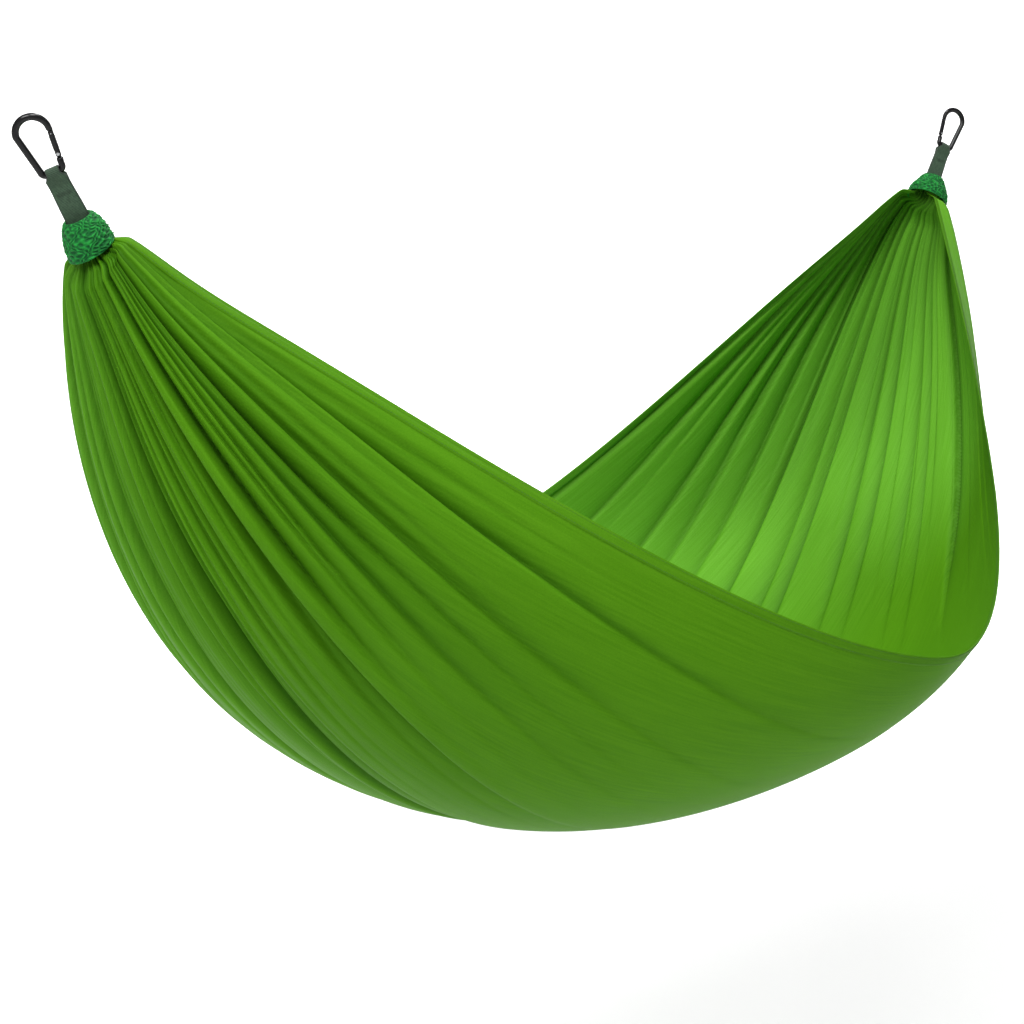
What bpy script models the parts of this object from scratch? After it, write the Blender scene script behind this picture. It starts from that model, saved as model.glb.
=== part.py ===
"""Gathered-end camping hammock on two carabiners, in metres, +X from the left end to the right end, +Z up.

The origin is the seat of the left carabiner's crown, where the left anchor pulls.
"""
import math

import bmesh
import bpy
import numpy as np
from mathutils import Vector

# ---- hanging geometry -------------------------------------------------------
SPAN = 1.650            # knot to knot, along X
HALF = SPAN / 2
PULL = math.radians(62.0)       # pull of each end above the horizontal
KNOT_D = 0.140          # crown seat to knot, along the pull
TWIST = {-1: math.radians(35.0), 1: math.radians(-22.0)}   # turn of each carabiner about the pull

# sag of a line of threads: depth * (1 - |u|^a)^b, with u shifted a little to one side
BOTTOM = (0.883, 2.00, 0.453, 0.073)
FRONT_Y = (0.579, 1.63, 1.04, -0.123)
FRONT_Z = (0.573, 1.885, 1.115, -0.175)
REAR_Y = (0.515, 1.62, 1.30, 0.045)
REAR_Z = (0.6665, 2.16, 1.56, 0.090)
BELLY = 3.7             # how late the section turns from the bottom sag to the rim sag

# ---- cloth ------------------------------------------------------------------
CLOTH_T = 0.0024        # cloth with its small folds, as one wall
HEM_T = 0.0034
HEM_W = 0.016
BUNCH_R = 0.0205        # radius of the bunched cloth in the sleeve
BUNCH_ARC = math.radians(150.0)
BUNCH_FADE = 0.11
NECK = 0.066            # by here the threads have left the pull line for their own hang
NECK_LEAD = 0.012       # and up to here they keep to it
TUCK = 0.004            # cloth beyond the knot, inside the sleeve
ROWS = 50
COLS = 20
GAP = 0.0010            # cloth to hem, and stretch to stretch, along the cloth
SPLIT = (19, 34)        # rows where the bed's three stretches meet

# ---- carabiner --------------------------------------------------------------
BAR_R = 0.0039
SIDES = 12
CROWN_R = 0.019
CORNER_R = 0.0055
CORNER_S = 0.0075
EYE_L = 0.061
CROWN_STEP = math.radians(8.0)
APOTHEM = BAR_R * math.cos(math.pi / SIDES)
CROWN_D = (CROWN_R - APOTHEM) * math.cos(CROWN_STEP)
BAR_D = EYE_L + BAR_R
GATE_R = 0.0036
GATE_TOP = 0.0020
GATE_END = 0.0318
PIVOT_AT = 0.0290
SHOULDER_AT = 0.0342
LATCH_AT = 0.0050
TONGUE_N = 0.0015
TONGUE_Q = 0.0026
SLOT_N = 0.0018
PIN_R = 0.0009
RIVET_R = 0.0012
BORE_R = 0.0016

# ---- webbing and sleeve -----------------------------------------------------
WEB_T = 0.0022
WEB_W = 0.025
WEB_WRAP_W = 0.0158
WRAP_R = BAR_R + 0.0005 + WEB_T / 2
LEG_N = 0.00145
STRAP_PIVOT_D = 0.1285
SLEEVE_OUT = [(0.0155, 0.1230), (0.0180, 0.1245), (0.0215, 0.1285), (0.0258, 0.1350), (0.0287, 0.1430),
              (0.0300, 0.1515), (0.0306, 0.1580), (0.0318, 0.1615), (0.0314, 0.1635)]
SLEEVE_IN = [(0.0288, 0.1635), (0.0276, 0.1560), (0.0256, 0.1480), (0.0236, 0.1400), (0.0228, 0.1345)]


# ---- materials --------------------------------------------------------------
def material(name, colour, roughness, metallic=0.0):
    mat = bpy.data.materials.new(name)
    mat.use_nodes = True
    mat.diffuse_color = (*colour, 1.0)
    bsdf = mat.node_tree.nodes["Principled BSDF"]
    bsdf.inputs["Base Color"].default_value = (*colour, 1.0)
    bsdf.inputs["Roughness"].default_value = roughness
    bsdf.inputs["Metallic"].default_value = metallic
    return mat


def new_object(name, bm, mat, pivot=None, sharp=35.0):
    """Close the bmesh into one named object whose origin is the pivot."""
    bmesh.ops.remove_doubles(bm, verts=bm.verts, dist=1e-6)
    bmesh.ops.recalc_face_normals(bm, faces=bm.faces)
    mesh = bpy.data.meshes.new(name)
    if pivot is not None:
        bmesh.ops.translate(bm, verts=bm.verts, vec=-Vector(pivot))
    bm.to_mesh(mesh)
    bm.free()
    obj = bpy.data.objects.new(name, mesh)
    bpy.context.scene.collection.objects.link(obj)
    if pivot is not None:
        obj.location = Vector(pivot)
    mesh.materials.append(mat)
    mesh.shade_smooth()
    mesh.set_sharp_from_angle(angle=math.radians(sharp))
    return obj


def cut(obj, cutters):
    """Take each cutter's solid out of the object, and drop the cutter."""
    for tool in cutters:
        mod = obj.modifiers.new("cut", "BOOLEAN")
        mod.operation = "DIFFERENCE"
        mod.solver = "EXACT"
        mod.object = tool
        graph = bpy.context.evaluated_depsgraph_get()
        mesh = bpy.data.meshes.new_from_object(obj.evaluated_get(graph))
        obj.modifiers.remove(mod)
        obj.data = mesh
        bpy.data.objects.remove(tool)
    obj.data.shade_smooth()
    obj.data.set_sharp_from_angle(angle=math.radians(35.0))


# ---- end frames -------------------------------------------------------------
def down(side):
    return Vector((-side * math.cos(PULL), 0.0, -math.sin(PULL)))


def seat(side):
    """Where the crown hangs: the origin on the left, and its like on the right."""
    x = 0.0 if side < 0 else SPAN + 2 * KNOT_D * math.cos(PULL)
    return Vector((x, 0.0, 0.0))


def knot(side):
    return seat(side) + down(side) * KNOT_D


def end_axes(side):
    """Local axes s (towards the spine), n (through the carabiner) and d (down the pull)."""
    d = down(side)
    out = Vector((side * math.sin(PULL), 0.0, -math.cos(PULL)))
    s = out * math.cos(TWIST[side]) + Vector((0.0, 1.0, 0.0)) * math.sin(TWIST[side])
    return s, d.cross(s), d


def place(side, s, n, d):
    es, en, ed = end_axes(side)
    return seat(side) + es * s + en * n + ed * d


# ---- the hanging cloth ------------------------------------------------------
def sag(u, law):
    depth, a, b, shift = law
    w = np.clip(u + shift * (1.0 - u * u), -1.0, 1.0)
    return depth * np.maximum(1.0 - np.abs(w) ** a, 0.0) ** b


def thread(v, count=900):
    """One lengthwise thread between the knots, v = -1 on the front rim and +1 on the rear rim."""
    u = -np.cos(np.linspace(0.0, math.pi, count))
    low = sag(u, BOTTOM)
    y = sag(u, FRONT_Y if v < 0 else REAR_Y)
    z = sag(u, FRONT_Z if v < 0 else REAR_Z)
    rim = np.hypot(y, z)
    turn = np.arctan2(y + 1e-9, z + 1e-9) * v
    r = low + (rim - low) * abs(v) ** BELLY
    return np.stack([u * HALF, r * np.sin(turn), -r * np.cos(turn)], axis=1)


def even(points, q):
    """Points at the fractions q of a thread's length, with each one's distance from the nearer knot."""
    step = np.linalg.norm(np.diff(points, axis=0), axis=1)
    run = np.concatenate([[0.0], np.cumsum(step)])
    at = q * run[-1]
    out = np.stack([np.interp(at, run, points[:, k]) for k in range(3)], axis=1)
    return out, np.minimum(at, run[-1] - at)


def row_fractions(rows):
    t = np.linspace(0.0, 1.0, rows)
    return 0.84 * 0.5 * (1.0 - np.cos(math.pi * t)) + 0.16 * t


def bunch(v, side):
    """A thread's place in the bunched ring at one knot, across the pull."""
    out = np.array([side * math.sin(PULL), 0.0, -math.cos(PULL)])
    a = v * BUNCH_ARC
    return BUNCH_R * (out * math.cos(a) + np.array([0.0, 1.0, 0.0]) * math.sin(a))


def neck(pts, far, left):
    """Lead a thread straight down the pull from its knot before it takes its own hang."""
    half = np.array([HALF, 0.0, 0.0])
    lead = np.where(left, -half + np.array(down(-1)) * far[:, None], half + np.array(down(1)) * far[:, None])
    t = np.clip((far - NECK_LEAD) / (NECK - NECK_LEAD), 0.0, 1.0)[:, None]
    k = t * t * (3.0 - 2.0 * t)
    return lead + (pts - lead) * k


def cloth_line(v, rows):
    """One finished thread: tucked in the left sleeve, over the bed, tucked in the right sleeve."""
    pts, far = even(thread(v), row_fractions(rows))
    fade = np.exp(-((far / BUNCH_FADE) ** 2))
    left = np.linspace(1.0, 0.0, rows)[:, None] > 0.5
    pts = neck(pts, far, left)
    ring = np.where(left, bunch(v, -1)[None, :], bunch(v, 1)[None, :])
    pts = pts + ring * fade[:, None]
    up = {s: -np.array(down(s)) for s in (-1, 1)}
    head = [pts[0] + up[-1] * TUCK * k for k in (1.0, 0.5)]
    tail = [pts[-1] + up[1] * TUCK * k for k in (0.5, 1.0)]
    return np.vstack([head, pts, tail])


def mid_span():
    """The point midway between the knots."""
    return (np.array(knot(-1)) + np.array(knot(1))) / 2


def cloth_grid(lo, hi, rows, cols):
    """Mid surface from lo to hi across the cloth; both may vary along it."""
    base = np.stack([cloth_line(v, rows) for v in np.linspace(-1.0, 1.0, 61)], axis=1)
    vs = np.linspace(-1.0, 1.0, 61)
    out = np.zeros((base.shape[0], cols, 3))
    for i in range(base.shape[0]):
        v = np.linspace(lo[i], hi[i], cols)
        for k in range(3):
            out[i, :, k] = np.interp(v, vs, base[i, :, k])
    return out + mid_span()[None, None, :]


def hem_edges(rows, side):
    """v of the line where the hem begins, a hem's width in from the rim, and the small gap beside it."""
    vs = np.linspace(side, 0.0, 81)
    base = np.stack([cloth_line(v, rows) for v in vs], axis=1)
    steps = np.linalg.norm(np.diff(base, axis=1), axis=2)
    run = np.concatenate([np.zeros((base.shape[0], 1)), np.cumsum(steps, axis=1)], axis=1)
    edge = []
    inner = []
    for row in run:
        want = min(HEM_W, 0.12 * row[-1])
        edge.append(np.interp(want, row, vs))
        inner.append(np.interp(want + GAP, row, vs))
    return np.array(edge), np.array(inner)


def shell(name, grid, thick, mat):
    """A closed wall of one thickness on a grid of mid-surface points."""
    du = np.gradient(grid, axis=0)
    dv = np.gradient(grid, axis=1)
    nrm = np.cross(du, dv)
    nrm = nrm / np.linalg.norm(nrm, axis=2, keepdims=True)
    ni, nj = grid.shape[:2]
    bm = bmesh.new()
    top = [[bm.verts.new(grid[i, j] + nrm[i, j] * thick / 2) for j in range(nj)] for i in range(ni)]
    low = [[bm.verts.new(grid[i, j] - nrm[i, j] * thick / 2) for j in range(nj)] for i in range(ni)]
    for i in range(ni - 1):
        for j in range(nj - 1):
            bm.faces.new((top[i][j], top[i + 1][j], top[i + 1][j + 1], top[i][j + 1]))
            bm.faces.new((low[i][j], low[i][j + 1], low[i + 1][j + 1], low[i + 1][j]))
    for i in range(ni - 1):
        bm.faces.new((top[i][0], low[i][0], low[i + 1][0], top[i + 1][0]))
        bm.faces.new((top[i][-1], top[i + 1][-1], low[i + 1][-1], low[i][-1]))
    for j in range(nj - 1):
        bm.faces.new((top[0][j], top[0][j + 1], low[0][j + 1], low[0][j]))
        bm.faces.new((top[-1][j], low[-1][j], low[-1][j + 1], top[-1][j + 1]))
    return new_object(name, bm, mat, sharp=60.0)


def stretch_of(grid, first, last):
    """The rows from first to last, drawn in half a gap at each end that meets another stretch."""
    out = grid[first:last + 1].copy()
    for row, near, whole_end in ((0, 1, first == 0), (-1, -2, last == len(grid) - 1)):
        if not whole_end:
            ahead = out[near] - out[row]
            out[row] += ahead / np.linalg.norm(ahead, axis=1, keepdims=True) * GAP / 2
    return out


def bed(mats):
    front, front_in = hem_edges(ROWS, -1)
    rear, rear_in = hem_edges(ROWS, 1)
    one = np.ones_like(front)
    whole = cloth_grid(front_in, rear_in, ROWS, COLS)
    for name, first, last in (("left", 0, SPLIT[0]), ("middle", *SPLIT), ("right", SPLIT[1], ROWS + 3)):
        shell("bed_fabric_" + name, stretch_of(whole, first, last), CLOTH_T, mats["cloth"])
    shell("front_hem", cloth_grid(-one, front, ROWS, 3), HEM_T, mats["hem"])
    shell("rear_hem", cloth_grid(rear, one, ROWS, 3), HEM_T, mats["hem"])


# ---- carabiner --------------------------------------------------------------
def sweep(bm, stations, sides, phase):
    """Sweep a flattened circle along stations of (centre, across axis, n axis, across radius, n radius)."""
    rings = []
    for centre, across, n, ra, rn in stations:
        ring = []
        for k in range(sides):
            a = 2 * math.pi * (k + phase) / sides
            ring.append(bm.verts.new(centre + across * ra * math.cos(a) + n * rn * math.sin(a)))
        rings.append(ring)
    for p, q in zip(rings[:-1], rings[1:]):
        for k in range(sides):
            m = (k + 1) % sides
            bm.faces.new((p[k], p[m], q[m], q[k]))
    bm.faces.new(list(reversed(rings[0])))
    bm.faces.new(rings[-1])


def gate_line():
    """The gate side's tangent: its start on the crown circle, its direction and its outward normal in s, d."""
    c1 = Vector((0.0, CROWN_D))
    c2 = Vector((-CORNER_S, BAR_D - CORNER_R))
    gap = c2 - c1
    tilt = math.asin((CROWN_R - CORNER_R) / gap.length) + math.atan2(gap.x, gap.y)
    along = Vector((math.sin(tilt), math.cos(tilt)))
    out = Vector((-math.cos(tilt), math.sin(tilt)))
    return c1 + out * CROWN_R, along, out, tilt


def at_gate(along, outward):
    """s and d of a point on the gate side, a distance along it and outward of it."""
    start, e, q, _ = gate_line()
    p = start + e * along + q * outward
    return p.x, p.y


def frame_stations(side):
    es, en, ed = end_axes(side)
    start, e, q, tilt = gate_line()

    def station(s, d, qs, qd, ra=BAR_R, rn=BAR_R):
        return (place(side, s, 0.0, d), es * qs + ed * qd, en, ra, rn)

    out = []
    for along, ra, rn in ((PIVOT_AT - 0.0032, 0.0017, TONGUE_N), (PIVOT_AT - 0.0026, TONGUE_Q, TONGUE_N),
                          (SHOULDER_AT - 0.00005, TONGUE_Q, TONGUE_N), (SHOULDER_AT, 0.0034, 0.0034)):
        s, d = at_gate(along, 0.0)
        out.append(station(s, d, q.x, q.y, ra, rn))
    for k in range(7):
        a = math.pi + tilt - (math.pi / 2 + tilt) * k / 6
        out.append(station(-CORNER_S + CORNER_R * math.cos(a), BAR_D - CORNER_R + CORNER_R * math.sin(a),
                           math.cos(a), math.sin(a)))
    for k in range(7):
        a = math.pi / 2 - (math.pi / 2 + tilt) * k / 6
        out.append(station(CORNER_S + CORNER_R * math.cos(a), BAR_D - CORNER_R + CORNER_R * math.sin(a),
                           math.cos(a), math.sin(a)))
    half = [CROWN_STEP + (math.pi / 2 + tilt - CROWN_STEP) * k / 8 for k in range(9)]
    angles = [h for h in reversed(half)] + [-h for h in half]
    for a in angles:
        out.append(station(CROWN_R * math.sin(a), CROWN_D - CROWN_R * math.cos(a), math.sin(a), -math.cos(a)))
    for along, ra, rn in ((0.0014, BAR_R, BAR_R), (0.00145, TONGUE_Q, TONGUE_N), (0.0066, TONGUE_Q, TONGUE_N),
                          (0.0074, 0.0016, TONGUE_N)):
        s, d = at_gate(along, 0.0)
        out.append(station(s, d, q.x, q.y, ra, rn))
    return out


def prism(side, corners, n0, n1, name="cutter"):
    """A straight prism through the carabiner, from corners in s, d."""
    bm = bmesh.new()
    low = [bm.verts.new(place(side, s, n0, d)) for s, d in corners]
    top = [bm.verts.new(place(side, s, n1, d)) for s, d in corners]
    bm.faces.new(low)
    bm.faces.new(top)
    for k in range(len(corners)):
        m = (k + 1) % len(corners)
        bm.faces.new((low[k], low[m], top[m], top[k]))
    bmesh.ops.recalc_face_normals(bm, faces=bm.faces)
    mesh = bpy.data.meshes.new(name)
    bm.to_mesh(mesh)
    bm.free()
    obj = bpy.data.objects.new(name, mesh)
    obj.hide_render = True
    obj.display_type = "WIRE"
    bpy.context.scene.collection.objects.link(obj)
    return obj


def gate_box(side, a0, a1, q0, q1, n0, n1):
    corners = [at_gate(a0, q0), at_gate(a1, q0), at_gate(a1, q1), at_gate(a0, q1)]
    return prism(side, corners, n0, n1)


def gate_disc(side, along, radius, n0, n1, sides=16):
    corners = []
    for k in range(sides):
        a = 2 * math.pi * k / sides
        corners.append(at_gate(along + radius * math.cos(a), radius * math.sin(a)))
    return prism(side, corners, n0, n1)


def rod(bm, side, along0, along1, radius, sides=16):
    """A round rod along the gate side."""
    es, en, ed = end_axes(side)
    _, _, q, _ = gate_line()
    stations = []
    for along in (along0, along1):
        s, d = at_gate(along, 0.0)
        stations.append((place(side, s, 0.0, d), es * q.x + ed * q.y, en, radius, radius))
    sweep(bm, stations, sides, 0.5)


def cross_pin(bm, side, along, profile, sides=16):
    """A turned pin through the gate: profile of (n, radius)."""
    rings = []
    for n, r in profile:
        ring = []
        for k in range(sides):
            a = 2 * math.pi * k / sides
            s, d = at_gate(along + r * math.cos(a), r * math.sin(a))
            ring.append(bm.verts.new(place(side, s, n, d)))
        rings.append(ring)
    for p, r in zip(rings[:-1], rings[1:]):
        for k in range(sides):
            m = (k + 1) % sides
            bm.faces.new((p[k], p[m], r[m], r[k]))
    bm.faces.new(rings[0])
    bm.faces.new(rings[-1])


def strap_hinge(side):
    return place(side, 0.0, 0.0, STRAP_PIVOT_D)


def eye_hinge(side):
    return place(side, 0.0, 0.0, BAR_D)


def gate_hinge(side):
    s, d = at_gate(PIVOT_AT, 0.0)
    return place(side, s, 0.0, d)


def carabiner_frame(side, tag, mats):
    bm = bmesh.new()
    sweep(bm, frame_stations(side), SIDES, 0.5)
    frame = new_object(tag + "_carabiner_frame", bm, mats["black"], eye_hinge(side))
    notch = gate_box(side, LATCH_AT - PIN_R - 0.0003, LATCH_AT + PIN_R + 0.0003, -0.004, 0.0012, -0.003, 0.003)
    hole = gate_disc(side, PIVOT_AT, RIVET_R + 0.0003, -0.004, 0.004)
    cut(frame, [notch, hole])


def gate_bore(side):
    bm = bmesh.new()
    rod(bm, side, 0.0140, 0.0300, BORE_R, 12)
    bmesh.ops.recalc_face_normals(bm, faces=bm.faces)
    mesh = bpy.data.meshes.new("bore")
    bm.to_mesh(mesh)
    bm.free()
    obj = bpy.data.objects.new("bore", mesh)
    obj.hide_render = True
    obj.display_type = "WIRE"
    bpy.context.scene.collection.objects.link(obj)
    return obj


def carabiner_gate(side, tag, mats):
    bm = bmesh.new()
    rod(bm, side, GATE_TOP, GATE_END, GATE_R)
    gate = new_object(tag + "_carabiner_gate", bm, mats["black"], gate_hinge(side))
    top_slot = gate_box(side, GATE_TOP - 0.001, 0.0088, -0.005, 0.005, -SLOT_N, SLOT_N)
    low_slot = gate_box(side, PIVOT_AT - 0.0046, GATE_END + 0.001, -0.005, 0.005, -SLOT_N, SLOT_N)
    pin_hole = gate_disc(side, LATCH_AT, PIN_R + 0.0003, -0.005, 0.005)
    rivet_hole = gate_disc(side, PIVOT_AT, RIVET_R + 0.0003, -0.005, 0.005)
    cut(gate, [top_slot, low_slot, pin_hole, rivet_hole, gate_bore(side)])


def gate_rivet(side, tag, mats):
    bm = bmesh.new()
    h = GATE_R + 0.0003
    cross_pin(bm, side, PIVOT_AT, [(-h - 0.0007, 0.0013), (-h - 0.0004, 0.0019), (-h, 0.0020), (-h, RIVET_R),
                                   (h, RIVET_R), (h, 0.0020), (h + 0.0004, 0.0019), (h + 0.0007, 0.0013)])
    new_object(tag + "_gate_rivet", bm, mats["steel"], eye_hinge(side))


def latch_pin(side, tag, mats):
    bm = bmesh.new()
    cross_pin(bm, side, LATCH_AT, [(-0.0034, PIN_R * 0.7), (-0.0031, PIN_R), (0.0031, PIN_R), (0.0034, PIN_R * 0.7)])
    new_object(tag + "_latch_pin", bm, mats["steel"], gate_hinge(side))


def gate_plunger(side, tag, mats):
    bm = bmesh.new()
    rod(bm, side, 0.0212, 0.0252, BORE_R - 0.0003, 12)
    new_object(tag + "_gate_plunger", bm, mats["steel"], gate_hinge(side))


def gate_spring(side, tag, mats):
    """A closed coil of wire in the gate's bore."""
    es, en, ed = end_axes(side)
    _, e, q, _ = gate_line()
    axis = es * e.x + ed * e.y
    across = es * q.x + ed * q.y
    s0, d0 = at_gate(0.0146, 0.0)
    base = place(side, s0, 0.0, d0)
    turns, per, wire, coil = 5, 10, 0.00019, 0.00098
    bm = bmesh.new()
    stations = []
    for k in range(turns * per + 1):
        a = 2 * math.pi * k / per
        radial = across * math.cos(a) + en * math.sin(a)
        centre = base + axis * (0.0003 + 0.0058 * k / (turns * per)) + radial * coil
        stations.append((centre, radial, axis, wire, wire))
    sweep(bm, stations, 6, 0.0)
    new_object(tag + "_gate_spring", bm, mats["steel"], gate_hinge(side))


# ---- webbing ----------------------------------------------------------------
def smooth(t):
    t = min(max(t, 0.0), 1.0)
    return t * t * (3.0 - 2.0 * t)


def web_path():
    """The closed band's centre line in n, d: round the bar, down both legs, round the end."""
    pts = []
    for k in range(13):
        a = math.pi * k / 12
        pts.append((WRAP_R * math.cos(a), BAR_D - WRAP_R * math.sin(a)))
    downs = [BAR_D + 0.0025 + 0.0175 * k / 7 for k in range(8)]
    downs += [BAR_D + 0.020 + (STRAP_PIVOT_D - BAR_D - 0.020) * k / 5 for k in range(1, 6)]
    legs = []
    for d in downs:
        legs.append((WRAP_R + (LEG_N - WRAP_R) * smooth((d - BAR_D) / 0.018), d))
    left = [(-n, d) for n, d in legs]
    turn = [(-LEG_N * math.cos(math.pi * k / 4), STRAP_PIVOT_D + LEG_N * math.sin(math.pi * k / 4))
            for k in range(1, 4)]
    return pts + left + turn + list(reversed(legs))


def web_width(d):
    return WEB_WRAP_W + (WEB_W - WEB_WRAP_W) * smooth((d - BAR_D - 0.001) / 0.016)


def webbing(side, tag, mats):
    path = web_path()
    count = len(path)
    bm = bmesh.new()
    rings = []
    for k in range(count):
        n0, d0 = path[k - 1]
        n1, d1 = path[(k + 1) % count]
        run = math.hypot(n1 - n0, d1 - d0)
        on, od = (d1 - d0) / run, -(n1 - n0) / run
        n, d = path[k]
        w = web_width(d) / 2
        ring = []
        for across, s in ((1, -w), (1, w), (-1, w), (-1, -w)):
            ring.append(bm.verts.new(place(side, s, n + on * across * WEB_T / 2, d + od * across * WEB_T / 2)))
        rings.append(ring)
    for k in range(count):
        p, r = rings[k], rings[(k + 1) % count]
        for m in range(4):
            t = (m + 1) % 4
            bm.faces.new((p[m], p[t], r[t], r[m]))
    new_object(tag + "_webbing", bm, mats["webbing"], strap_hinge(side))


def stitch_block(side, tag, mats):
    """The raised bar of thread that sews the band's two legs together."""
    front = side
    n0 = LEG_N + WEB_T / 2 + 0.0004
    n1 = n0 + 0.0007
    bm = bmesh.new()
    rows = []
    for n, inset in ((n0, 0.0), (n1, 0.0006)):
        w, d0, d1 = 0.0095 - inset, 0.0880 + inset, 0.0935 - inset
        rows.append([bm.verts.new(place(side, s, n * front, d)) for s, d in ((-w, d0), (w, d0), (w, d1), (-w, d1))])
    bm.faces.new(rows[0])
    bm.faces.new(rows[1])
    for k in range(4):
        m = (k + 1) % 4
        bm.faces.new((rows[0][k], rows[0][m], rows[1][m], rows[1][k]))
    new_object(tag + "_stitch_block", bm, mats["thread"], strap_hinge(side))


# ---- sleeve and cord --------------------------------------------------------
def ring_points(bm, side, radius, d, sides):
    pts = []
    for k in range(sides):
        a = 2 * math.pi * k / sides
        pts.append(bm.verts.new(place(side, radius * math.cos(a), radius * math.sin(a), d)))
    return pts


def end_sleeve(side, tag, mats):
    sides = 32
    bm = bmesh.new()
    rings = [ring_points(bm, side, r, d, sides) for r, d in SLEEVE_OUT + SLEEVE_IN]
    for p, q in zip(rings[:-1], rings[1:]):
        for k in range(sides):
            m = (k + 1) % sides
            bm.faces.new((p[k], p[m], q[m], q[k]))
    bm.faces.new(rings[0])
    bm.faces.new(rings[-1])
    sleeve = new_object(tag + "_end_sleeve", bm, mats["sleeve"])
    profile = [(-0.00295, 0.1316), (0.00295, 0.1316), (0.0031, 0.1285), (0.0062, 0.1200), (-0.0062, 0.1200),
               (-0.0031, 0.1285)]
    low = []
    top = []
    pocket = bmesh.new()
    for n, d in profile:
        low.append(pocket.verts.new(place(side, -0.0130, n, d)))
        top.append(pocket.verts.new(place(side, 0.0130, n, d)))
    pocket.faces.new(low)
    pocket.faces.new(top)
    for k in range(len(profile)):
        m = (k + 1) % len(profile)
        pocket.faces.new((low[k], low[m], top[m], top[k]))
    bmesh.ops.recalc_face_normals(pocket, faces=pocket.faces)
    mesh = bpy.data.meshes.new("pocket")
    pocket.to_mesh(mesh)
    pocket.free()
    tool = bpy.data.objects.new("pocket", mesh)
    tool.hide_render = True
    tool.display_type = "WIRE"
    bpy.context.scene.collection.objects.link(tool)
    cut(sleeve, [tool])


def gather_cord(side, tag, mats):
    """The cord ring inside the bunched cloth, which holds it open against the sleeve."""
    major, minor, d0, sides = 0.0155, 0.0022, 0.1400, 28
    bm = bmesh.new()
    rings = []
    for k in range(sides):
        a = 2 * math.pi * k / sides
        ring = []
        for m in range(8):
            b = 2 * math.pi * m / 8
            r = major + minor * math.cos(b)
            ring.append(bm.verts.new(place(side, r * math.cos(a), r * math.sin(a), d0 + minor * math.sin(b))))
        rings.append(ring)
    for k in range(sides):
        p, q = rings[k], rings[(k + 1) % sides]
        for m in range(8):
            t = (m + 1) % 8
            bm.faces.new((p[m], p[t], q[t], q[m]))
    new_object(tag + "_gather_cord", bm, mats["cord"])


# ---- assembly ---------------------------------------------------------------
def clear_scene():
    for obj in list(bpy.data.objects):
        bpy.data.objects.remove(obj)


def materials():
    return {
        "cloth": material("ripstop_green", (0.085, 0.270, 0.020), 0.62),
        "hem": material("hem_green", (0.075, 0.240, 0.018), 0.66),
        "sleeve": material("ruched_deep_green", (0.015, 0.200, 0.050), 0.80),
        "webbing": material("webbing_dark_green", (0.045, 0.080, 0.050), 0.85),
        "thread": material("thread_dark", (0.020, 0.032, 0.022), 0.80),
        "cord": material("cord_dark_green", (0.018, 0.110, 0.035), 0.75),
        "black": material("black_anodised", (0.012, 0.012, 0.013), 0.28, 0.85),
        "steel": material("bright_steel", (0.560, 0.570, 0.580), 0.25, 1.0),
    }


def main():
    clear_scene()
    mats = materials()
    bed(mats)
    for side, tag in ((-1, "left"), (1, "right")):
        end_sleeve(side, tag, mats)
        gather_cord(side, tag, mats)
        webbing(side, tag, mats)
        stitch_block(side, tag, mats)
        carabiner_frame(side, tag, mats)
        gate_rivet(side, tag, mats)
        carabiner_gate(side, tag, mats)
        latch_pin(side, tag, mats)
        gate_plunger(side, tag, mats)
        gate_spring(side, tag, mats)


main()
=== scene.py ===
"""Looks of the gathered-end camping hammock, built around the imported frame."""
import math

import bmesh
import bpy
import numpy as np
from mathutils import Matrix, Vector


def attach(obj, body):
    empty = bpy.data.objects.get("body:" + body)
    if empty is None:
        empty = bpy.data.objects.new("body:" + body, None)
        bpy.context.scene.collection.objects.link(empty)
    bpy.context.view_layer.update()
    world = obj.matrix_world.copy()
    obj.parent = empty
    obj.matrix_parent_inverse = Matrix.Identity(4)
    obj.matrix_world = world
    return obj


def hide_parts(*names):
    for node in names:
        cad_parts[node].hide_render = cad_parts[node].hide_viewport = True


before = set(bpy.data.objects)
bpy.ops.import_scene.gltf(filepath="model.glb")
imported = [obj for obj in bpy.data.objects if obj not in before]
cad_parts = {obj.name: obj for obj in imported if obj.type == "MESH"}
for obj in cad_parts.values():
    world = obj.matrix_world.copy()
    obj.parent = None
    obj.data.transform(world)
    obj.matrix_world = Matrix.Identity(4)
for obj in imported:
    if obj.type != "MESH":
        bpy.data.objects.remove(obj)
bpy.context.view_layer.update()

# ---- the hang, as in part.py: metres, and angles in radians -----------------
SPAN = 1.650
HALF = SPAN / 2
PULL = math.radians(62.0)
KNOT_D = 0.140
TWIST = {-1: math.radians(35.0), 1: math.radians(-22.0)}
# Sag laws of the bottom line and the two rims: depth, inner power, outer power, shift along the span.
BOTTOM = (0.883, 2.00, 0.453, 0.073)
FRONT_Y = (0.579, 1.63, 1.04, -0.123)
FRONT_Z = (0.573, 1.885, 1.115, -0.175)
REAR_Y = (0.515, 1.62, 1.30, 0.045)
REAR_Z = (0.6665, 2.16, 1.56, 0.090)
BELLY = 3.7
# The bunched ends: ring radius, the arc it covers to each side, and how far along the threads it fades.
BUNCH_R = 0.0205
BUNCH_ARC = math.radians(150.0)
BUNCH_FADE = 0.11
# The straight neck inside each sleeve, where it begins, how much shorter it is at the rims.
NECK = 0.066
NECK_LEAD = 0.012
NECK_SHORTER = 0.026
# How far the cloth runs on past the knot, inside the sleeve.
TUCK = 0.004

# ---- the flat cloth and its mesh --------------------------------------------
FLAT_W = 1.36
NU = 400
NV = 700
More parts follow.
